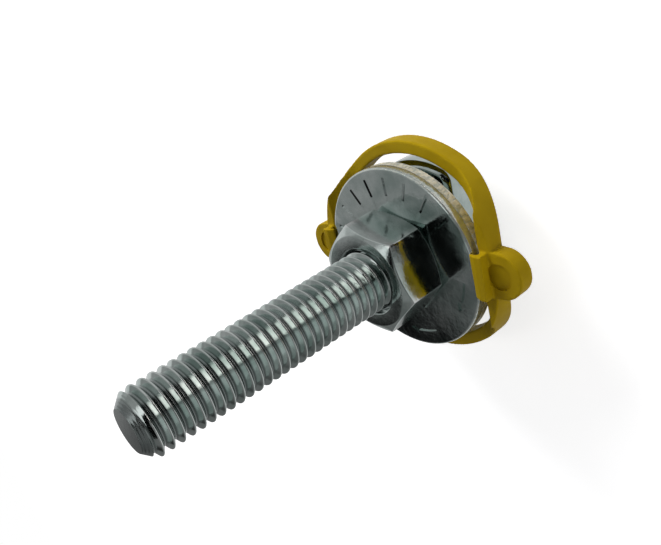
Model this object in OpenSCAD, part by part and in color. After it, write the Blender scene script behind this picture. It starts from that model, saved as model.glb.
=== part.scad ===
/* [Stud] */
// Outside diameter of the stud's thread
thread_d = 8; // [6:0.5:10]
// Length of the stud from the head's clamping face to its tip
stud_len = 45; // [36:1:80]
// Height and depth of the chamfer at the stud's tip
tip_chamfer = 1.1; // [0.3:0.1:1.5]

/* [Hammer head] */
// Length of the head across its rounded ends
head_len = 23; // [18:0.5:24]
// Width of the head across its straight sides
head_w = 11.5; // [10:0.5:15]
// Thickness of the head
head_t = 4.5; // [3:0.5:8]
// Radius of the head's four corners
head_corner_r = 2; // [0.5:0.25:3.5]
// Size of the bevel on the head's edges
head_bevel = 0.7; // [0.2:0.1:1.2]

/* [Washer] */
// Outside diameter of the washer
washer_d = 25; // [24.5:0.5:32]
// Thickness of the washer
washer_t = 2.5; // [1.5:0.1:4]
// Radius of the washer's rolled front edge
washer_edge_r = 0.6; // [0.2:0.1:1.2]
// Play between the washer's bore and the thread, on the radius
washer_play = 0.3; // [0.1:0.05:0.6]
// Open distance between the head and the washer, for the channel's lips
clamp_gap = 2.5; // [1:0.5:8]

/* [Nut] */
// Size of the nut across its flats
nut_af = 13; // [12:0.5:17]
// Height of the nut
nut_h = 6.5; // [5:0.1:9]
// Inset of the nut's flat faces from its flats, where the corner chamfers start
nut_inset = 0.3; // [0.1:0.05:0.6]
// Slope of the nut's corner chamfers in degrees
nut_chamfer_deg = 30; // [15:1:40]
// Width and depth of the countersink at each mouth of the nut's bore
nut_mouth = 0.5; // [0.2:0.05:0.8]
// Turn of the nut at rest, from the ears to the nearest flat, in degrees
nut_turn = 16; // [0:1:59]
// Running clearance between the nut's bore and the stud, on the radius
thread_clearance = 0.05; // [0.02:0.01:0.1]

/* [Spring clip band] */
// Gap between the washer's rim and the band, on the radius
clip_gap = 0.5; // [0.2:0.1:1]
// Wall thickness of the band
clip_wall = 1.7; // [1:0.1:2.5]
// Height of the band along the bolt
clip_band = 2.5; // [1.5:0.1:3.5]
// Depth of the bowed arcs' front edge behind the washer's front face
clip_bow = 3.8; // [2:0.1:5]
// Inner radius of the curl that lifts the band to the ears
clip_curl = 5; // [3:0.5:7]

/* [Ears and hooks] */
// Reach of each ear beyond the band
ear_reach = 3.4; // [2:0.1:6]
// Radius of each ear's rounded end
ear_r = 3; // [2:0.25:4]
// Thickness of each ear
ear_t = 2.2; // [1.5:0.1:3]
// Depth of the ears' front faces behind the washer's front face
ear_set = 0.6; // [0:0.1:1.5]
// Diameter of the round dimple in each ear
dimple_d = 3.4; // [2:0.1:3.8]
// Depth of the dimple
dimple_depth = 0.25; // [0.1:0.05:0.6]
// Width of each hook along the washer's edge
hook_w = 5.8; // [3:0.1:7]
// Lap of each hook over the washer's front face
hook_lap = 0.5; // [0.2:0.1:1.2]
// Thickness of each hook above the washer
hook_t = 0.7; // [0.4:0.1:1.5]
// Thickness of each hook at its thin inner edge
hook_edge_t = 0.25; // [0.1:0.05:0.4]
// Thickness of each hook's stem
hook_stem = 0.9; // [0.5:0.1:1.6]
// Clearance between a hook and the washer's front face
hook_clearance = 0.05; // [0.02:0.01:0.2]

/* [Hidden] */
$fn = 96;
// Overlap that makes a cut or a join run through a face
overlap = 1;

// Heights along the bolt, from the foot of the head
washer_back = head_t + clamp_gap;
washer_front = washer_back + washer_t;
tip_z = head_t + stud_len;

// Hammer head: the corner arcs touch the straight sides and the rounded ends
head_r = head_len / 2;
corner_x = head_w / 2 - head_corner_r;
corner_y = sqrt(pow(head_r - head_corner_r, 2) - pow(corner_x, 2));

// Nut
nut_corner_r = nut_af / sqrt(3);
nut_face_r = nut_af / 2 - nut_inset;
nut_cone_r = nut_corner_r + overlap;
nut_cone_h = (nut_cone_r - nut_face_r) * tan(nut_chamfer_deg);
nut_bore_r = thread_d / 2 + thread_clearance;

// Spring clip
clip_ri = washer_d / 2 + clip_gap;
clip_ro = clip_ri + clip_wall;
arc_top = washer_front - clip_bow;
curl_x = clip_ri - clip_curl;
curl_z = arc_top + clip_curl;
ear_top = washer_front - ear_set;
ear_x = clip_ro + ear_reach - ear_r;
hook_foot = washer_front + hook_clearance;
hook_top = hook_foot + hook_t;

// Outline of the hammer head: straight sides, ends round about the stud, arcs at the corners
module head_outline() {
    square([head_w, 2 * corner_y], center = true);
    intersection() {
        circle(r = head_r);
        for (side = [1, -1])
            polygon([[0, 0], [corner_x, corner_y] * 2 * side, [-corner_x, corner_y] * 2 * side]);
    }
    for (x = [corner_x, -corner_x], y = [corner_y, -corner_y])
        translate([x, y])
            circle(r = head_corner_r);
}

// Section of a slab of half width r, with both its edges bevelled
module bevelled_half(r) {
    polygon([
        [0, 0], [r - head_bevel, 0], [r, head_bevel],
        [r, head_t - head_bevel], [r - head_bevel, head_t], [0, head_t]
    ]);
}

module hammer_head() {
    intersection() {
        linear_extrude(head_t)
            head_outline();
        rotate_extrude()
            bevelled_half(head_r);
        rotate([90, 0, 0])
            linear_extrude(head_len + overlap, center = true)
                for (side = [0, 1])
                    mirror([side, 0])
                        bevelled_half(head_w / 2);
    }
}

module stud() {
    r = thread_d / 2;
    rotate_extrude()
        polygon([
            [0, head_t / 2], [r, head_t / 2], [r, tip_z - tip_chamfer],
            [r - tip_chamfer, tip_z], [0, tip_z]
        ]);
}

module hammer_bolt() {
    color("slategray") {
        hammer_head();
        stud();
    }
}

// The blanked washer: rolled edge in front, sharp edge behind
module washer() {
    bore_r = thread_d / 2 + washer_play;
    rim_r = washer_d / 2;
    color("silver")
        translate([0, 0, washer_back])
            rotate_extrude() {
                translate([bore_r, 0])
                    square([rim_r - washer_edge_r - bore_r, washer_t]);
                translate([bore_r, 0])
                    square([rim_r - bore_r, washer_t - washer_edge_r]);
                translate([rim_r - washer_edge_r, washer_t - washer_edge_r])
                    circle(r = washer_edge_r);
            }
}

// A hexagon cut by one turned profile that holds the chamfers, the bore and its countersinks
module hex_nut() {
    color("darkgray")
        translate([0, 0, washer_front])
            intersection() {
                rotate([0, 0, nut_turn - 30])
                    cylinder(h = nut_h, r = nut_corner_r, $fn = 6);
                rotate_extrude()
                    polygon([
                        [nut_bore_r + nut_mouth, 0], [nut_face_r, 0],
                        [nut_cone_r, nut_cone_h], [nut_cone_r, nut_h - nut_cone_h],
                        [nut_face_r, nut_h], [nut_bore_r + nut_mouth, nut_h],
                        [nut_bore_r, nut_h - nut_mouth], [nut_bore_r, nut_mouth]
                    ]);
            }
}

// Side view of the band: straight behind the washer, then curled up to each ear
module band_side() {
    translate([-curl_x, arc_top - clip_band])
        square([2 * curl_x, clip_band]);
    for (side = [0, 1])
        mirror([side, 0]) {
            intersection() {
                translate([curl_x, curl_z])
                    difference() {
                        circle(r = clip_curl + clip_band);
                        circle(r = clip_curl);
                    }
                translate([curl_x, arc_top - clip_band])
                    square([clip_curl + clip_band, min(curl_z, ear_top) - arc_top + clip_band]);
            }
            if (ear_top > curl_z)
                translate([clip_ri, curl_z])
                    square([clip_band, ear_top - curl_z]);
        }
}

// The round band, bowed by its side view
module band() {
    intersection() {
        rotate([90, 0, 0])
            linear_extrude(2 * clip_ro + overlap, center = true)
                band_side();
        difference() {
            cylinder(h = washer_front, r = clip_ro);
            translate([0, 0, -overlap])
                cylinder(h = washer_front + 2 * overlap, r = clip_ri);
        }
    }
}

// One finger ear with its dimple, on the +X side
module ear() {
    difference() {
        translate([0, 0, ear_top - ear_t])
            linear_extrude(ear_t)
                difference() {
                    union() {
                        translate([ear_x, 0])
                            circle(r = ear_r);
                        translate([0, -ear_r])
                            square([ear_x, 2 * ear_r]);
                    }
                    circle(r = clip_ri);
                    translate([-clip_ro, -clip_ro])
                        square([clip_ro, 2 * clip_ro]);
                }
        translate([ear_x, 0, ear_top - dimple_depth])
            cylinder(h = dimple_depth + overlap, r = dimple_d / 2);
    }
}

// One snap hook that holds the washer's front edge, with a lead-in slope
module hook() {
    lip_x = washer_d / 2 - hook_lap;
    stem_x = clip_ri + hook_stem;
    rotate([90, 0, 0])
        linear_extrude(hook_w, center = true)
            polygon([
                [lip_x, hook_foot], [lip_x, hook_foot + hook_edge_t], [clip_ri, hook_top],
                [stem_x, hook_top], [stem_x, ear_top - ear_t / 2], [clip_ri, ear_top - ear_t / 2],
                [clip_ri, hook_foot]
            ]);
}

module spring_clip() {
    color("goldenrod") {
        band();
        for (side = [0, 1])
            mirror([side, 0, 0]) {
                ear();
                hook();
            }
    }
}

hammer_bolt();
washer();
hex_nut();
spring_clip();
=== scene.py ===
import math

import bmesh
import bpy
from mathutils import Matrix, Vector


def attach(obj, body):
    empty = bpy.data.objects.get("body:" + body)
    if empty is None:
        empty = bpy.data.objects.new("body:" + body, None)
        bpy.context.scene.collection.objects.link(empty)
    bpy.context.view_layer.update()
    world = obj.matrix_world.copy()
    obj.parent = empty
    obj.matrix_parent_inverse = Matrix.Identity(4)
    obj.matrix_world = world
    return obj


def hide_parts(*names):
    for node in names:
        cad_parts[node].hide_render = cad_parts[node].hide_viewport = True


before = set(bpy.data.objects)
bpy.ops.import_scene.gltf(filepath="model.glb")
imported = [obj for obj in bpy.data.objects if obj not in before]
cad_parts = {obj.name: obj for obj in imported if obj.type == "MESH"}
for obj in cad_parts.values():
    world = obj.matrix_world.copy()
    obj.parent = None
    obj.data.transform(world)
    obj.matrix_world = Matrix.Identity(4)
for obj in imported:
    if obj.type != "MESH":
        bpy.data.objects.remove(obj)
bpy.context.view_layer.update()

mm = 0.001
fullTurn = 2 * math.pi
mergeDist = 2e-6    # points nearer than this are one
overlap = 1 * mm    # how far a cutter reaches past what it cuts
noiseSpan = (0.35, 0.65)    # most of a noise's values lie between these
print("frame loaded:", sorted(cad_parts))


# everyday helpers

def deselectAll():
    if bpy.context.mode != "OBJECT":
        bpy.ops.object.mode_set(mode="OBJECT")
    bpy.ops.object.select_all(action="DESELECT")


def makeActive(obj):
    deselectAll()
    obj.select_set(True)
    bpy.context.view_layer.objects.active = obj


def startEdit(obj):
    makeActive(obj)
    bpy.ops.object.mode_set(mode="EDIT")
    bpy.ops.mesh.select_mode(type="VERT")
    bpy.ops.mesh.select_all(action="SELECT")


def pick(obj, kind, test):
    # selects what passes the test while the mesh is being edited
    bpy.ops.mesh.select_mode(type=kind)
    bpy.ops.mesh.select_all(action="DESELECT")
    mesh = bmesh.from_edit_mesh(obj.data)
    for item in {"VERT": mesh.verts, "EDGE": mesh.edges}[kind]:
        if test(item):
            item.select_set(True)
    mesh.select_flush_mode()
    bmesh.update_edit_mesh(obj.data)


def endEdit():
    # closes seams and poles, then turns the faces outwards
    bpy.ops.mesh.select_mode(type="VERT")
    bpy.ops.mesh.select_all(action="SELECT")
    bpy.ops.mesh.remove_doubles(threshold=mergeDist)
    bpy.ops.mesh.normals_make_consistent(inside=False)
    bpy.ops.object.mode_set(mode="OBJECT")


def drawLine(name, points):
    # a plane merged to one point, then pulled along the drawing's points
    deselectAll()
    bpy.ops.mesh.primitive_plane_add(size=mm, location=points[0])
    obj = bpy.context.object
    obj.name = name
    bpy.ops.object.transform_apply(location=True, rotation=True, scale=True)
    startEdit(obj)
    bpy.ops.mesh.merge(type="CENTER")
    for here, there in zip(points, points[1:]):
        step = Vector(there) - Vector(here)
        bpy.ops.mesh.extrude_vertices_move(TRANSFORM_OT_translate={"value": step})
    return obj


def closeLine(obj):
    # joins the last point to the first
    mesh = bmesh.from_edit_mesh(obj.data)
    ends = [v.index for v in mesh.verts if len(v.link_edges) == 1]
    pick(obj, "VERT", lambda v: v.index in ends)
    bpy.ops.mesh.edge_face_add()


def spunSolid(name, section, steps):
    # section holds (radius, height) points; it is closed and turned round the bolt's axis
    obj = drawLine(name, [(r, 0, z) for r, z in section])
    closeLine(obj)
    bpy.ops.mesh.select_all(action="SELECT")
    bpy.ops.mesh.spin(steps=steps, angle=fullTurn, center=(0, 0, 0), axis=(0, 0, 1))
    endEdit()
    return obj


def extrudedSolid(name, outline, depth):
    # outline holds points in one plane; depth is the pull from it
    obj = drawLine(name, outline)
    closeLine(obj)
    bpy.ops.mesh.select_all(action="SELECT")
    bpy.ops.mesh.edge_face_add()
    bpy.ops.mesh.extrude_region_move(TRANSFORM_OT_translate={"value": depth})
    endEdit()
    return obj


def turnMesh(obj, degrees):
    # about the bolt's axis; with no window the operator turns the other way
    startEdit(obj)
    bpy.ops.transform.rotate(value=-math.radians(degrees), orient_axis="Z", center_override=(0, 0, 0))
    bpy.ops.object.mode_set(mode="OBJECT")


def oppositeCopy(obj):
    # a copy with its own mesh, half a turn round the bolt
    twin = obj.copy()
    twin.data = obj.data.copy()
    bpy.context.scene.collection.objects.link(twin)
    turnMesh(twin, -180)
    return twin


def cutLevel(level, **cleared):
    # cuts the mesh that is being edited at one height and closes the cut
    bpy.ops.mesh.select_all(action="SELECT")
    bpy.ops.mesh.bisect(plane_co=(0, 0, level), plane_no=(0, 0, 1), use_fill=True, **cleared)


def applyModifier(obj, kind, **settings):
    makeActive(obj)
    mod = obj.modifiers.new(kind.title(), kind)
    for key, value in settings.items():
        setattr(mod, key, value)
    bpy.ops.object.modifier_apply(modifier=mod.name)


def combine(obj, other, how):
    applyModifier(obj, "BOOLEAN", operation=how, solver="EXACT", object=other)
    bpy.data.objects.remove(other)


def roundEdges(obj, width, segments, angle):
    applyModifier(obj, "BEVEL", width=width, segments=segments, limit_method="ANGLE",
                  angle_limit=math.radians(angle), use_clamp_overlap=True)


def polarPoint(radius, degrees):
    return radius * math.cos(math.radians(degrees)), radius * math.sin(math.radians(degrees))


def arcPoints(cx, cy, radius, fromDeg, toDeg, steps):
    spokes = [polarPoint(radius, fromDeg + (toDeg - fromDeg) * i / steps) for i in range(steps + 1)]
    return [(cx + x, cy + y) for x, y in spokes]


def splitWide(obj):
    # splits the many-sided faces that cuts leave, and drops slivers
    startEdit(obj)
    bpy.ops.mesh.select_mode(type="FACE")
    bpy.ops.mesh.select_all(action="DESELECT")
    bpy.ops.mesh.select_face_by_sides(number=4, type="GREATER")
    bpy.ops.mesh.quads_convert_to_tris(quad_method="BEAUTY", ngon_method="BEAUTY")
    bpy.ops.mesh.select_all(action="SELECT")
    bpy.ops.mesh.dissolve_degenerate(threshold=mergeDist)
    endEdit()


def finishPiece(obj, name, body, node, material, smoothAngle):
    obj.name = name
    obj.data.name = name
    obj.data.materials.clear()
    obj.data.materials.append(material)
    splitWide(obj)
    bpy.ops.object.shade_smooth_by_angle(angle=math.radians(smoothAngle))
    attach(obj, body)
    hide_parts(node)
    print(name, "faces:", len(obj.data.polygons))


# material helpers

def feed(tree, socket, source):
    # a node's output is linked, a plain value is set
    if isinstance(source, bpy.types.NodeSocket):
        tree.links.new(source, socket)
    else:
        socket.default_value = source


def addNode(tree, kind, sources=None, **settings):
    node = tree.nodes.new(kind)
    for key, value in settings.items():
        setattr(node, key, value)
    for socket, source in (sources or {}).items():
        feed(tree, node.inputs[socket], source)
    return node


def newMaterial(name):
    material = bpy.data.materials.new(name)
    material.use_nodes = True
    tree = material.node_tree
    coords = addNode(tree, "ShaderNodeTexCoord").outputs["Object"]
    return material, tree, tree.nodes["Principled BSDF"], coords


def setShader(tree, shader, sources):
    for socket, source in sources.items():
        feed(tree, shader.inputs[socket], source)


def mathNode(tree, how, first, second=0.0):
    return addNode(tree, "ShaderNodeMath", {0: first, 1: second}, operation=how).outputs[0]


def times(tree, first, second):
    return mathNode(tree, "MULTIPLY", first, second)


def spread(tree, value, fromLow, fromHigh, toLow, toHigh):
    node = addNode(tree, "ShaderNodeMapRange", {"Value": value, "From Min": fromLow, "From Max": fromHigh,
                                                "To Min": toLow, "To Max": toHigh})
    return node.outputs["Result"]


def mixColour(tree, factor, first, second):
    return addNode(tree, "ShaderNodeMix", {0: factor, 6: first, 7: second}, data_type="RGBA").outputs[2]


def noise(tree, coords, scale, detail):
    return addNode(tree, "ShaderNodeTexNoise",
                   {"Vector": coords, "Scale": scale, "Detail": detail}).outputs["Fac"]


def stretched(tree, coords, scale):
    return addNode(tree, "ShaderNodeMapping", {"Vector": coords, "Scale": scale}).outputs["Vector"]


def bumped(tree, height, strength, depth, under=None):
    # under is the relief that this one lies on
    sources = {"Height": height, "Strength": strength, "Distance": depth}
    if under:
        sources["Normal"] = under
    return addNode(tree, "ShaderNodeBump", sources).outputs[0]


def splitCoords(tree, coords):
    return addNode(tree, "ShaderNodeSeparateXYZ", {0: coords}).outputs


def axisDistance(tree, coords):
    parts = splitCoords(tree, coords)
    squares = mathNode(tree, "ADD", times(tree, parts[0], parts[0]), times(tree, parts[1], parts[1]))
    return mathNode(tree, "SQRT", squares)


# zinc plated steel: cloudy plating, slow waves and fine pits

zincLook = {
    "pale": (0.56, 0.615, 0.60, 1),
    "deep": (0.36, 0.43, 0.41, 1),
    # a dark colour that paints shade into the thread's roots and round the nut's bore
    "paintedShade": (0.16, 0.18, 0.18, 1),
    "rubbed": (0.74, 0.76, 0.75, 1),
    "torn": (0.93, 0.91, 0.80, 1),
    "cloudScale": 260,
    "cloudShare": 0.6,    # of the roughness; the pits have the rest
    "waveScale": 1100,
    "waveStrength": 0.4,
    "waveDepth": 0.04 * mm,
    "pitScale": 5200,
    "pitDepth": 0.02 * mm,
}


def zincBase(name, finish):
    # finish holds the least and the most roughness, and the strength of the pits
    smooth, rough, pitStrength = finish
    material, tree, shader, coords = newMaterial(name)
    clouds = noise(tree, coords, zincLook["cloudScale"], detail=5.0)
    pits = noise(tree, coords, zincLook["pitScale"], detail=4.0)
    waves = noise(tree, coords, zincLook["waveScale"], detail=2.0)
    colour = mixColour(tree, spread(tree, clouds, *noiseSpan, 0, 1), zincLook["deep"], zincLook["pale"])
    share = zincLook["cloudShare"]
    mixed = mathNode(tree, "ADD", times(tree, clouds, share), times(tree, pits, 1 - share))
    roughness = spread(tree, mixed, *noiseSpan, smooth, rough)
    relief = bumped(tree, waves, zincLook["waveStrength"], zincLook["waveDepth"])
    relief = bumped(tree, pits, pitStrength, zincLook["pitDepth"], relief)
    shader.inputs["Metallic"].default_value = 1.0
    return material, tree, shader, coords, colour, roughness, relief


# hammer bolt: forged head, rolled thread, chamfered tip

boltSet = {
    "headLength": 23 * mm,
    "headWidth": 11.5 * mm,
    "headThick": 4.5 * mm,
    "headCorner": 2.0 * mm,
    "headBevel": 0.7 * mm,
    "edgeRound": 0.14 * mm,
    "studLength": 45 * mm,
    "studRoot": 1.5 * mm,    # how deep the stud is set in the head
    "pitch": 1.25 * mm,
    # (distance along the stud, radius) in mm, from a crest's middle to a root's middle
    "crestToRoot": [(0, 4.0), (0.05, 3.993), (0.09, 3.96), (0.12, 3.91), (0.14, 3.875),
                    (0.44, 3.355), (0.46, 3.32), (0.505, 3.268), (0.56, 3.243), (0.625, 3.235)],
    "turnSteps": 60,
    "tipFlat": 2.6 * mm,
    "tipRound": 0.12 * mm,
    "tipSpare": 0.4 * mm,
    "finish": (0.04, 0.12, 0.18),
    "threadFade": (0.1 * mm, 0.3 * mm),    # above the head, where the thread's own look fades in
    "rootSpan": (3.25 * mm, 3.48 * mm),
    "rootPaintedShade": 0.75,
    "rootRough": 0.2,
    "crestSpan": (3.86 * mm, 3.97 * mm),
    "crestRub": 0.35,
    "ringFade": (1.2 * mm, 1.0 * mm),    # below the tip, where its turning rings fade in
    "ringPitch": 0.26 * mm,
    "ringDepth": 0.02 * mm,
    "ringStrength": 0.5,
}


def rolledStud(spec):
    half = [(a * mm, r * mm) for a, r in spec["crestToRoot"]]
    wave = [(-a, r) for a, r in reversed(half)] + half[1:]
    foot = spec["headThick"] - spec["studRoot"]
    tip = spec["headThick"] + spec["studLength"]
    start = foot - spec["pitch"]
    stud = drawLine("stud", [(r, 0, start + a) for a, r in wave])
    bpy.ops.object.mode_set(mode="OBJECT")
    turns = math.ceil((tip - start) / spec["pitch"]) + 2
    applyModifier(stud, "SCREW", axis="Z", angle=fullTurn, screw_offset=spec["pitch"], iterations=turns,
                  steps=spec["turnSteps"], render_steps=spec["turnSteps"], use_merge_vertices=False)
    startEdit(stud)
    bpy.ops.mesh.remove_doubles(threshold=mergeDist)
    cutLevel(foot, clear_inner=True)
    cutLevel(tip + spec["tipSpare"], clear_outer=True)
    endEdit()
    wide = half[0][1] + overlap
    cone = wide - spec["tipFlat"]
    soft = spec["tipRound"]
    inset = soft * math.tan(math.radians(45 / 2))    # the round meets the flat and the 45 degree cone
    section = [(0, 0), (wide, 0), (wide, tip - cone)]
    section += arcPoints(spec["tipFlat"] - inset, tip - soft, soft, 45, 90, steps=6)
    section += [(0, tip)]
    combine(stud, spunSolid("tipForm", section, steps=96), "INTERSECT")
    return stud


def headOutline(spec):
    # straight sides, ends round about the stud, and arcs at the four corners
    reach, corner = spec["headLength"] / 2, spec["headCorner"]
    cornerX = spec["headWidth"] / 2 - corner
    cornerY = math.sqrt((reach - corner) ** 2 - cornerX ** 2)
    lean = math.degrees(math.atan2(cornerY, cornerX))
    half = arcPoints(cornerX, cornerY, corner, 0, lean, steps=10)
    half += arcPoints(0, 0, reach, lean, 180 - lean, steps=24)[1:-1]
    half += arcPoints(-cornerX, cornerY, corner, 180 - lean, 180, steps=10)
    return half + [(-x, -y) for x, y in half]


def hammerHead(spec):
    thick = spec["headThick"]
    head = extrudedSolid("head", [(x, y, 0) for x, y in headOutline(spec)], (0, 0, thick))
    startEdit(head)

    def onRim(edge):
        levels = [v.co.z for v in edge.verts]
        return max(levels) < mergeDist or min(levels) > thick - mergeDist

    pick(head, "EDGE", onRim)
    bpy.ops.mesh.bevel(offset=spec["headBevel"] * math.sqrt(2), offset_type="WIDTH", segments=1)
    endEdit()
    roundEdges(head, spec["edgeRound"], segments=2, angle=25)
    return head


def threadZinc(spec):
    # painted shade darkening the roots, rubbed crests, and turning rings at the tip
    material, tree, shader, coords, colour, roughness, relief = zincBase("zinc_thread", spec["finish"])
    radius = axisDistance(tree, coords)
    height = splitCoords(tree, coords)[2]
    foot, tip = spec["headThick"], spec["headThick"] + spec["studLength"]
    onStud = spread(tree, height, foot + spec["threadFade"][0], foot + spec["threadFade"][1], 0, 1)
    # painted shade: the roots are darkened where shade falls between the crests
    root = times(tree, onStud, spread(tree, radius, *spec["rootSpan"], spec["rootPaintedShade"], 0))
    crest = times(tree, onStud, spread(tree, radius, *spec["crestSpan"], 0, spec["crestRub"]))
    colour = mixColour(tree, root, colour, zincLook["paintedShade"])
    colour = mixColour(tree, crest, colour, zincLook["rubbed"])
    roughness = mathNode(tree, "ADD", roughness, times(tree, root, spec["rootRough"]))
    rings = mathNode(tree, "SINE", times(tree, height, fullTurn / spec["ringPitch"]))
    ringFrom, ringTo = tip - spec["ringFade"][0], tip - spec["ringFade"][1]
    onTip = spread(tree, height, ringFrom, ringTo, 0, spec["ringStrength"])
    relief = bumped(tree, rings, onTip, spec["ringDepth"], relief)
    setShader(tree, shader, {"Base Color": colour, "Roughness": roughness, "Normal": relief})
    return material


bolt = hammerHead(boltSet)
combine(bolt, rolledStud(boltSet), "UNION")
finishPiece(bolt, "hammerBolt", "bolt", "hammer_bolt", threadZinc(boltSet), smoothAngle=34)


# washer: blanked disc with a rolled front edge, a torn rim and stamped turning marks

washerSet = {
    "back": boltSet["headThick"] + 2.5 * mm,
    "front": boltSet["headThick"] + 5.0 * mm,
    "rim": 12.5 * mm,
    "bore": 4.3 * mm,
    "roll": 0.32 * mm,
    "boreBreak": 0.25 * mm,
    "backBreak": 0.1 * mm,
    "tornTop": boltSet["headThick"] + 3.85 * mm,
    "tornDepth": 0.07 * mm,
    "tornBreak": 0.12 * mm,
    "markDepth": 0.24 * mm,
    "markWidth": 0.42 * mm,
    "wedgeReach": 4,    # half widths that a tick's cutter spans on each side
    "tickFrom": 8.9 * mm,
    "tickTo": 11.3 * mm,
    "tickTurns": (36, 54, 72, 90, 108, 126, 144, 162, 180),
    "arrowRadius": 10.3 * mm,
    "arrowTurns": ((-34, -8), (-94, -68), (206, 232)),
    "arrowHead": 7,    # degrees from an arrow's point to its neck
    "arrowSpread": 3.2,    # half widths that its head spans on each side
    "finish": (0.07, 0.15, 0.22),
    "rimInset": (0.25 * mm, 0.1 * mm),    # inside the rim, where the torn look fades in
    "tornFade": 0.25 * mm,
    "tornLeast": 0.35,    # above the torn band
    "tornRough": 0.25,
    "tornMetal": 0.45,
    "crumbScale": 2600,
    "crumbStretch": (1, 1, 0.45),
    "crumbSpan": (0.40, 0.56),
    "crumbLeast": 0.2,
    "crumbDepth": 0.12 * mm,
}


def blankedDisc(spec):
    rim, bore, front, back = spec["rim"], spec["bore"], spec["front"], spec["back"]
    roll, soft, tornTop = spec["roll"], spec["boreBreak"], spec["tornTop"]
    torn = rim - spec["tornDepth"]
    section = [(bore, back + soft), (bore + soft, back), (torn - spec["tornBreak"], back),
               (torn, back + spec["backBreak"]), (torn, tornTop - spec["tornBreak"]), (rim, tornTop)]
    section += arcPoints(rim - roll, front - roll, roll, 0, 90, steps=8)
    section += [(bore + soft, front), (bore, front - soft)]
    return spunSolid("disc", section, steps=240)


def tickCutter(spec, turn):
    # a wedge that leaves a V-shaped groove
    near, far = spec["tickFrom"], spec["tickTo"]
    low = spec["front"] - spec["markDepth"]
    over = spec["wedgeReach"] * spec["markWidth"] / 2
    high = low + spec["wedgeReach"] * spec["markDepth"]
    wedge = [(near, 0, low), (near, over, high), (near, -over, high)]
    cutter = extrudedSolid("tick", wedge, (far - near, 0, 0))
    turnMesh(cutter, turn)
    return cutter


def arrowCutter(spec, fromDeg, toDeg):
    wide, mid = spec["markWidth"] / 2, spec["arrowRadius"]
    low, high = spec["front"] - spec["markDepth"], spec["front"] + overlap
    neck, side = fromDeg + spec["arrowHead"], spec["arrowSpread"] * wide
    outline = arcPoints(0, 0, mid + wide, toDeg, neck, steps=8)
    outline += [polarPoint(mid + side, neck), polarPoint(mid, fromDeg), polarPoint(mid - side, neck)]
    outline += arcPoints(0, 0, mid - wide, neck, toDeg, steps=8)
    return extrudedSolid("arrow", [(x, y, low) for x, y in outline], (0, 0, high - low))


def washerZinc(spec):
    # the blanking die leaves a crumbly, paler band on the rim
    material, tree, shader, coords, colour, roughness, relief = zincBase("zinc_washer", spec["finish"])
    radius = axisDistance(tree, coords)
    height = splitCoords(tree, coords)[2]
    rim, top = spec["rim"], spec["tornTop"]
    onRim = spread(tree, radius, rim - spec["rimInset"][0], rim - spec["rimInset"][1], 0, 1)
    torn = times(tree, onRim, spread(tree, height, top, top - spec["tornFade"], spec["tornLeast"], 1))
    crumbs = noise(tree, stretched(tree, coords, spec["crumbStretch"]), spec["crumbScale"], detail=6.0)
    patches = times(tree, torn, spread(tree, crumbs, *spec["crumbSpan"], spec["crumbLeast"], 1))
    setShader(tree, shader, {
        "Base Color": mixColour(tree, patches, colour, zincLook["torn"]),
        "Roughness": mathNode(tree, "ADD", roughness, times(tree, torn, spec["tornRough"])),
        "Metallic": spread(tree, torn, 0, 1, 1, spec["tornMetal"]),
        "Normal": bumped(tree, crumbs, torn, spec["crumbDepth"], relief),
    })
    return material


disc = blankedDisc(washerSet)
for turn in washerSet["tickTurns"]:
    combine(disc, tickCutter(washerSet, turn), "DIFFERENCE")
for fromDeg, toDeg in washerSet["arrowTurns"]:
    combine(disc, arrowCutter(washerSet, fromDeg, toDeg), "DIFFERENCE")
finishPiece(disc, "stampedWasher", "washer", "washer", washerZinc(washerSet), smoothAngle=34)


# nut: hexagon bar turned to a chamfer at both ends, bored and countersunk

nutSet = {
    "foot": washerSet["front"],
    "height": 6.5 * mm,
    "acrossFlats": 13 * mm,
    "flatTurn": 16,
    "faceRadius": 6.2 * mm,
    "chamferDeg": 30,
    "bore": 4.05 * mm,
    "mouth": 0.5 * mm,
    "edgeRound": 0.34 * mm,
    "finish": (0.09, 0.19, 0.25),
    "mouthSpan": (4.1 * mm, 4.6 * mm),
    "mouthPaintedShade": 0.85,
    "cornerSpan": (7.05 * mm, 7.4 * mm),
    "cornerRub": 0.7,
}


def chamferedNut(spec):
    foot, top = spec["foot"], spec["foot"] + spec["height"]
    corner = spec["acrossFlats"] / math.sqrt(3)
    deselectAll()
    bpy.ops.mesh.primitive_cylinder_add(vertices=6, radius=corner, depth=spec["height"],
                                        location=(0, 0, (foot + top) / 2))
    nut = bpy.context.object
    bpy.ops.object.transform_apply(location=True, rotation=True, scale=True)
    first = nut.data.vertices[0].co
    firstDeg = math.degrees(math.atan2(first.y, first.x))
    turnMesh(nut, spec["flatTurn"] + 180 / 6 - firstDeg)
    face, bore, mouth = spec["faceRadius"], spec["bore"], spec["mouth"]
    wide = corner + overlap
    fall = (wide - face) * math.tan(math.radians(spec["chamferDeg"]))
    section = [(bore, foot + mouth), (bore + mouth, foot), (face, foot), (wide, foot + fall),
               (wide, top - fall), (face, top), (bore + mouth, top), (bore, top - mouth)]
    combine(nut, spunSolid("nutForm", section, steps=144), "INTERSECT")
    roundEdges(nut, spec["edgeRound"], segments=4, angle=20)
    return nut


def nutZinc(spec):
    # painted shade round the bore, rubbed corners
    material, tree, shader, coords, colour, roughness, relief = zincBase("zinc_nut", spec["finish"])
    radius = axisDistance(tree, coords)
    # painted shade: the face is darkened round the bore's mouth
    mouth = spread(tree, radius, *spec["mouthSpan"], spec["mouthPaintedShade"], 0)
    corner = spread(tree, radius, *spec["cornerSpan"], 0, spec["cornerRub"])
    colour = mixColour(tree, mouth, colour, zincLook["paintedShade"])
    colour = mixColour(tree, corner, colour, zincLook["rubbed"])
    setShader(tree, shader, {"Base Color": colour, "Roughness": roughness, "Normal": relief})
    return material


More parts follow.
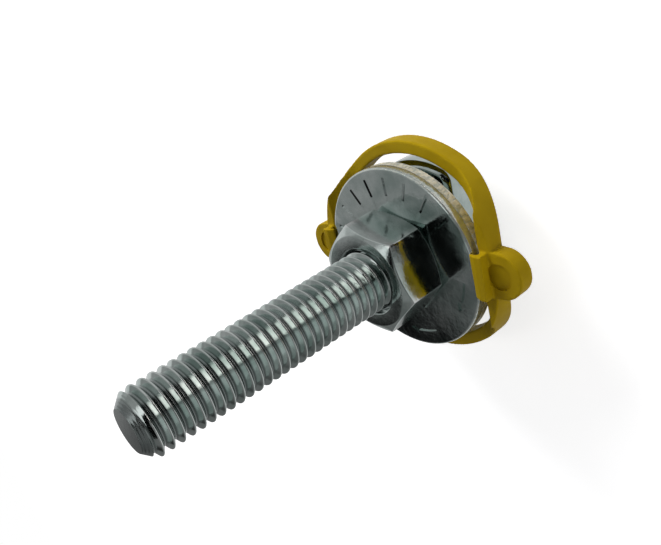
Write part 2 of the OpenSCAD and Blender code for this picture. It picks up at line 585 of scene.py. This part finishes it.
nut = chamferedNut(nutSet)
finishPiece(nut, "hexNut", "nut", "hex_nut", nutZinc(nutSet), smoothAngle=30)


# spring clip: bowed moulded band with finger ears, dimples and snap hooks, in satin yellow plastic

clipSet = {
    "inner": washerSet["rim"] + 0.5 * mm,
    "outer": washerSet["rim"] + 2.19 * mm,
    "tubeTop": washerSet["front"] + 2.5 * mm,    # of the tube that the band is cut from
    "bandHeight": 2.5 * mm,
    "arcTop": washerSet["front"] - 3.8 * mm,
    "curl": 5.0 * mm,
    "earTop": washerSet["front"] - 0.6 * mm,
    "earThick": 2.2 * mm,
    "earCentre": washerSet["rim"] + 2.6 * mm,
    "earRadius": 3.0 * mm,
    "dimpleRadius": 1.7 * mm,
    "dimpleDepth": 0.25 * mm,
    "hookWidth": 5.8 * mm,
    "hookLip": washerSet["rim"] - 0.5 * mm,
    "hookFoot": washerSet["front"] + 0.05 * mm,
    "hookTop": washerSet["front"] + 0.75 * mm,
    "hookEdge": 0.25 * mm,
    "hookStem": washerSet["rim"] + 1.4 * mm,
    "voxel": 0.125 * mm,
    "softenTimes": 10,
    "softenBy": 0.5,
    "bright": (0.42, 0.285, 0.004, 1),
    "dull": (0.37, 0.246, 0.003, 1),
    "mottleScale": 330,
    "grainScale": 6500,
    "grainSpan": (0.3, 0.7),
    "grainStrength": 0.3,
    "grainDepth": 0.015 * mm,
    "roughness": (0.44, 0.6),
    "sheen": 0.07,
}


def bowedBand(spec):
    # side view of the band, straight behind the washer and curled up to the ears, cut from a tube
    inner, outer, top = spec["inner"], spec["outer"], spec["earTop"]
    near, far = spec["curl"], spec["curl"] + spec["bandHeight"]
    curlX, curlZ = inner - near, spec["arcTop"] + near
    inside = -math.degrees(math.asin((curlZ - top) / near))    # where the curl meets the ear's level
    outside = -math.degrees(math.asin((curlZ - top) / far))
    right = arcPoints(curlX, curlZ, far, -90, outside, steps=24)
    right += arcPoints(curlX, curlZ, near, inside, -90, steps=20)
    left = [(-x, z) for x, z in reversed(right)]
    half = outer + overlap
    side = extrudedSolid("bandSide", [(x, -half, z) for x, z in right + left], (0, 2 * half, 0))
    section = [(inner, 0), (outer, 0), (outer, spec["tubeTop"]), (inner, spec["tubeTop"])]
    band = spunSolid("band", section, steps=192)
    combine(band, side, "INTERSECT")
    return band


def fingerEar(spec):
    centre, radius, inner = spec["earCentre"], spec["earRadius"], spec["inner"]
    foot = spec["earTop"] - spec["earThick"]
    spanDeg = math.degrees(math.asin(radius / inner))
    outline = arcPoints(centre, 0, radius, -90, 90, steps=32)
    outline += arcPoints(0, 0, inner, spanDeg, -spanDeg, steps=16)
    return extrudedSolid("ear", [(x, y, foot) for x, y in outline], (0, 0, spec["earThick"]))


def dimpleCutter(spec, side):
    deselectAll()
    place = (side * spec["earCentre"], 0, spec["earTop"])
    bpy.ops.mesh.primitive_cylinder_add(vertices=64, radius=spec["dimpleRadius"],
                                        depth=2 * spec["dimpleDepth"], location=place)
    return bpy.context.object


def snapHook(spec):
    lip, inner, stem = spec["hookLip"], spec["inner"], spec["hookStem"]
    foot, top = spec["hookFoot"], spec["hookTop"]
    root = spec["earTop"] - spec["earThick"] / 2
    half = spec["hookWidth"] / 2
    outline = [(lip, foot), (lip, foot + spec["hookEdge"]), (inner, top), (stem, top),
               (stem, root), (inner, root), (inner, foot)]
    return extrudedSolid("hook", [(x, -half, z) for x, z in outline], (0, 2 * half, 0))


def clipPlastic(spec):
    # slightly mottled, with a fine mould grain
    material, tree, shader, coords = newMaterial("yellow_plastic")
    mottle = noise(tree, coords, spec["mottleScale"], detail=4.0)
    grain = noise(tree, coords, spec["grainScale"], detail=3.0)
    setShader(tree, shader, {
        "Base Color": mixColour(tree, spread(tree, mottle, *noiseSpan, 0, 1), spec["dull"], spec["bright"]),
        "Specular IOR Level": spec["sheen"],
        "Roughness": spread(tree, grain, *spec["grainSpan"], *spec["roughness"]),
        "Normal": bumped(tree, grain, spec["grainStrength"], spec["grainDepth"]),
    })
    return material


clip = bowedBand(clipSet)
ear, hook = fingerEar(clipSet), snapHook(clipSet)
for part in (oppositeCopy(ear), oppositeCopy(hook), ear, hook):
    combine(clip, part, "UNION")
applyModifier(clip, "REMESH", mode="VOXEL", voxel_size=clipSet["voxel"], adaptivity=0.0)
applyModifier(clip, "SMOOTH", factor=clipSet["softenBy"], iterations=clipSet["softenTimes"])
for side in (1, -1):
    combine(clip, dimpleCutter(clipSet, side), "DIFFERENCE")
finishPiece(clip, "springClip", "clip", "spring_clip", clipPlastic(clipSet), smoothAngle=50)


# floor, a studio of glowing wall and lid that only reflections see and that paint the reflections in the
# metal, lamps and camera

stageSet = {
    "floorSize": 1.6,
    "floorColour": (0.86, 0.86, 0.87, 1),
    "floorRough": 0.9,
    "glowReach": (30 * mm, 110 * mm),    # the floor's own glow to the camera grows over this stretch
    "glowNear": 0.66,
    "glowFar": 0.92,
    "ambient": 0.20,
    # painted reflections, with dark tones for shade and bright ones for highlights, that the floor and wall
    # show only in the metal: tones in reflections are (turn in degrees, tone); a zone fades in between its
    # first two values
    "paintedFloorFootTone": 0.75,
    "paintedFloorReflections": (
        (16 * mm, 23 * mm, ((-180, 0.45), (-120, 0.34), (-60, 0.30), (-10, 0.26), (-3, 0.004), (26, 0.004),
                            (40, 0.7), (66, 0.7), (100, 0.22), (150, 0.22), (180, 0.45))),
        (28 * mm, 31 * mm, ((-180, 0.60), (4, 0.70), (16, 0.005), (84, 0.005), (100, 0.40), (180, 0.50))),
        (40 * mm, 44 * mm, ((-180, 0.60), (-60, 0.95), (4, 0.95), (20, 0.35), (31, (2.9, 2.6, 2.55)),
                            (70, (2.55, 2.3, 2.25)), (90, 0.66), (130, 0.66), (180, 0.60))),
        (67 * mm, 74 * mm, ((-180, 0.50), (-60, 0.55), (8, 0.50), (20, 0.012), (80, 0.012), (98, 0.5),
                            (150, 0.5), (180, 0.45))),
    ),
    "wallRadius": 0.36,
    "wallHeight": 0.46,
    "paintedWallFoot": ((-180, 0.80), (-162, 0.80), (-148, 0.16), (-60, 0.25), (-24, 0.25), (-14, 0.003),
                 (76, 0.003), (92, 0.6), (150, 0.6), (180, 0.80)),
    "paintedWallZones": (
        (0.07, 0.10, ((-180, 0.80), (-162, 0.80), (-148, 0.16), (-120, 0.20), (-60, 0.25), (20, 0.28),
                      (76, 0.30), (92, 0.6), (150, 0.6), (180, 0.80))),
        (0.17, 0.21, ((-180, 0.36), (-158, 0.33), (-150, 0.07), (-143, 0.005), (-125, 0.005), (-108, 0.17),
                      (-60, 0.25), (-24, 0.25), (-14, 0.003), (24, 0.003), (38, 0.25), (76, 0.28),
                      (92, 0.6), (150, 0.6), (180, 0.36))),
        (0.265, 0.315, ((-180, 0.36), (-157, 0.33), (-149, 0.15), (-125, 0.15), (-60, 0.25), (-24, 0.25),
                        (-14, 0.003), (76, 0.003), (92, 0.35), (150, 0.35), (180, 0.36))),
    ),
    # painted reflection bands across the lid, dark for shade and bright for a highlight: (distance from its
    # middle in metres, tone)
    "lidTurn": 152,
    "paintedLidBands": ((-0.12, 0.30), (-0.08, 0.25), (-0.06, 0.003), (0.03, 0.003), (0.05, 1.2), (0.14, 1.1),
                 (0.18, 0.38)),
    # name, turn and rise in degrees, distance, size, watts
    "lamps": (("key", 118, 14, 0.30, 0.14, 0.86),
              ("side", -12, 12, 0.32, 0.16, 0.26),
              ("top", 150, 66, 0.30, 0.12, 0.07)),
    "lampAim": (0, 0, 18 * mm),
    "cameraPlace": (62.346 * mm, 36.929 * mm, 64.613 * mm),
    "cameraAim": (-1.518 * mm, 2.844 * mm, 19.626 * mm),
    "cameraLean": 120.853,
    "focusPixels": 700.46,
    "photoPixels": 661,
    "sensorWidth": 36,
}


def onlyReflected(obj):
    obj.visible_camera = False
    obj.visible_diffuse = False
    obj.visible_transmission = False
    obj.visible_volume_scatter = False
    obj.visible_shadow = False


def seenBy(tree, *rays):
    # 1 for these kinds of rays
    path = addNode(tree, "ShaderNodeLightPath").outputs
    seen = path[rays[0]]
    for ray in rays[1:]:
        seen = mathNode(tree, "MAXIMUM", seen, path[ray])
    return seen


def glowColour(tone):
    # a number is a grey
    return (*tone, 1) if isinstance(tone, tuple) else (tone, tone, tone, 1)


def toneRamp(tree, value, stops, low, high):
    # stops hold (place, tone), with the places between low and high
    ramp = addNode(tree, "ShaderNodeValToRGB", {0: spread(tree, value, low, high, 0, 1)})
    marks = ramp.color_ramp.elements
    marks.remove(marks[1])
    shares = [(place - low) / (high - low) for place, tone in stops]
    tones = [glowColour(tone) for place, tone in stops]
    marks[0].position = shares[0]
    marks[0].color = tones[0]
    for share, tone in zip(shares[1:], tones[1:]):
        marks.new(share).color = tone
    return ramp.outputs[0]


def turnTones(tree, coords, stops):
    # tones by the turn round the bolt's axis, from the ears
    parts = splitCoords(tree, coords)
    turn = mathNode(tree, "ARCTAN2", parts[1], parts[0])
    return toneRamp(tree, turn, [(math.radians(deg), tone) for deg, tone in stops], -math.pi, math.pi)


def zoneTones(tree, coords, tone, measure, zones):
    # from zone to zone along a measure, such as a height
    for start, end, stops in zones:
        step = spread(tree, measure, start, end, 0, 1)
        tone = mixColour(tree, step, tone, turnTones(tree, coords, stops))
    return tone


def glowOnly(tree, shader, tone):
    glow = addNode(tree, "ShaderNodeEmission", {"Color": tone})
    feed(tree, tree.nodes["Material Output"].inputs["Surface"], glow.outputs[0])
    tree.nodes.remove(shader)


def makeFloor(spec):
    # white to the camera apart from the shadow; in reflections it glows with painted tones, dark for shade
    # and bright for highlights
    deselectAll()
    bpy.ops.mesh.primitive_plane_add(size=spec["floorSize"], location=(0, 0, 0))
    floor = bpy.context.object
    floor.name = "floor"
    material, tree, shader, coords = newMaterial("pale_floor_painted_reflections")
    radius = axisDistance(tree, coords)
    glow = spread(tree, radius, *spec["glowReach"], spec["glowNear"], spec["glowFar"])
    seen = seenBy(tree, "Is Camera Ray", "Is Transmission Ray")
    setShader(tree, shader, {
        "Base Color": spec["floorColour"],
        "Roughness": spec["floorRough"],
        "Specular IOR Level": 0.0,
        "Emission Color": (1, 1, 1, 1),
        "Emission Strength": times(tree, seen, glow),
    })
    # painted reflection: the floor shows these tones only in the metal, dark zones for shade and bright
    # warm ones for highlights
    tone = zoneTones(tree, coords, glowColour(spec["paintedFloorFootTone"]), radius, spec["paintedFloorReflections"])
    paintedReflection = addNode(tree, "ShaderNodeEmission", {"Color": tone}).outputs[0]
    mix = addNode(tree, "ShaderNodeMixShader",
                  {0: seenBy(tree, "Is Glossy Ray"), 1: shader.outputs[0], 2: paintedReflection})
    feed(tree, tree.nodes["Material Output"].inputs["Surface"], mix.outputs[0])
    floor.data.materials.append(material)


def makeWall(spec):
    # a glowing wall that only reflections see; its tones by turn and height are painted reflections, dark
    # for shade and bright for highlights
    deselectAll()
    bpy.ops.mesh.primitive_cylinder_add(vertices=96, radius=spec["wallRadius"], depth=spec["wallHeight"],
                                        end_fill_type="NOTHING", location=(0, 0, spec["wallHeight"] / 2))
    wall = bpy.context.object
    wall.name = "glowing_reflection_wall"
    bpy.ops.object.transform_apply(location=True, rotation=True, scale=True)
    material, tree, shader, coords = newMaterial("wall_painted_reflections")
    height = splitCoords(tree, coords)[2]
    foot = turnTones(tree, coords, spec["paintedWallFoot"])
    glowOnly(tree, shader, zoneTones(tree, coords, foot, height, spec["paintedWallZones"]))
    wall.data.materials.append(material)
    onlyReflected(wall)


def makeLid(spec):
    # glowing bands across the zenith that paint reflections: dim, black for shade, a bright skylight that
    # paints a highlight, then grey
    reach, turn = spec["wallRadius"], math.radians(spec["lidTurn"])
    deselectAll()
    bpy.ops.mesh.primitive_circle_add(vertices=96, radius=reach, fill_type="NGON",
                                      location=(0, 0, spec["wallHeight"]))
    lid = bpy.context.object
    lid.name = "glowing_reflection_lid"
    material, tree, shader, coords = newMaterial("lid_painted_reflections")
    parts = splitCoords(tree, coords)
    across = mathNode(tree, "ADD", times(tree, parts[0], math.cos(turn)),
                      times(tree, parts[1], math.sin(turn)))
    glowOnly(tree, shader, toneRamp(tree, across, spec["paintedLidBands"], -reach, reach))
    lid.data.materials.append(material)
    onlyReflected(lid)


def makeWorld(spec):
    # white to the eye and in reflections, dim as light
    world = bpy.data.worlds.new("studio_air")
    bpy.context.scene.world = world
    world.use_nodes = True
    tree = world.node_tree
    tree.nodes.clear()
    soft = addNode(tree, "ShaderNodeBackground", {"Color": (1, 1, 1, 1), "Strength": spec["ambient"]})
    white = addNode(tree, "ShaderNodeBackground", {"Color": (1, 1, 1, 1), "Strength": 1.0})
    seen = seenBy(tree, "Is Camera Ray", "Is Glossy Ray", "Is Transmission Ray")
    mix = addNode(tree, "ShaderNodeMixShader", {0: seen, 1: soft.outputs[0], 2: white.outputs[0]})
    addNode(tree, "ShaderNodeOutputWorld", {"Surface": mix.outputs[0]})


def addLamp(name, turnDeg, riseDeg, distance, size, watts, aim):
    # a soft round lamp that doesn't show in the metal
    turn, rise = math.radians(turnDeg), math.radians(riseDeg)
    away = Vector((math.cos(turn) * math.cos(rise), math.sin(turn) * math.cos(rise), math.sin(rise)))
    lamp = bpy.data.lights.new(name, "AREA")
    lamp.shape = "DISK"
    lamp.size = size
    lamp.energy = watts
    obj = bpy.data.objects.new(name, lamp)
    bpy.context.scene.collection.objects.link(obj)
    obj.location = Vector(aim) + away * distance
    obj.rotation_mode = "QUATERNION"
    obj.rotation_quaternion = away.to_track_quat("Z", "Y")
    obj.visible_glossy = False


def makeCamera(spec):
    # stands before the stud's tip and leans over, so that the stud points to the lower left
    place, aim = Vector(spec["cameraPlace"]), Vector(spec["cameraAim"])
    shot = bpy.data.cameras.new("shot")
    shot.sensor_width = spec["sensorWidth"]
    shot.lens = spec["focusPixels"] / spec["photoPixels"] * spec["sensorWidth"]
    shot.clip_start = 1 * mm
    shot.clip_end = 10
    obj = bpy.data.objects.new("shot", shot)
    bpy.context.scene.collection.objects.link(obj)
    upright = (aim - place).to_track_quat("-Z", "Y").to_matrix()
    turned = upright @ Matrix.Rotation(-math.radians(spec["cameraLean"]), 3, "Z")
    obj.matrix_world = Matrix.Translation(place) @ turned.to_4x4()
    bpy.context.scene.camera = obj


makeFloor(stageSet)
makeWall(stageSet)
makeLid(stageSet)
makeWorld(stageSet)
for lampValues in stageSet["lamps"]:
    addLamp(*lampValues, stageSet["lampAim"])
makeCamera(stageSet)
bpy.context.scene.view_settings.view_transform = "Standard"
print("stage ready")
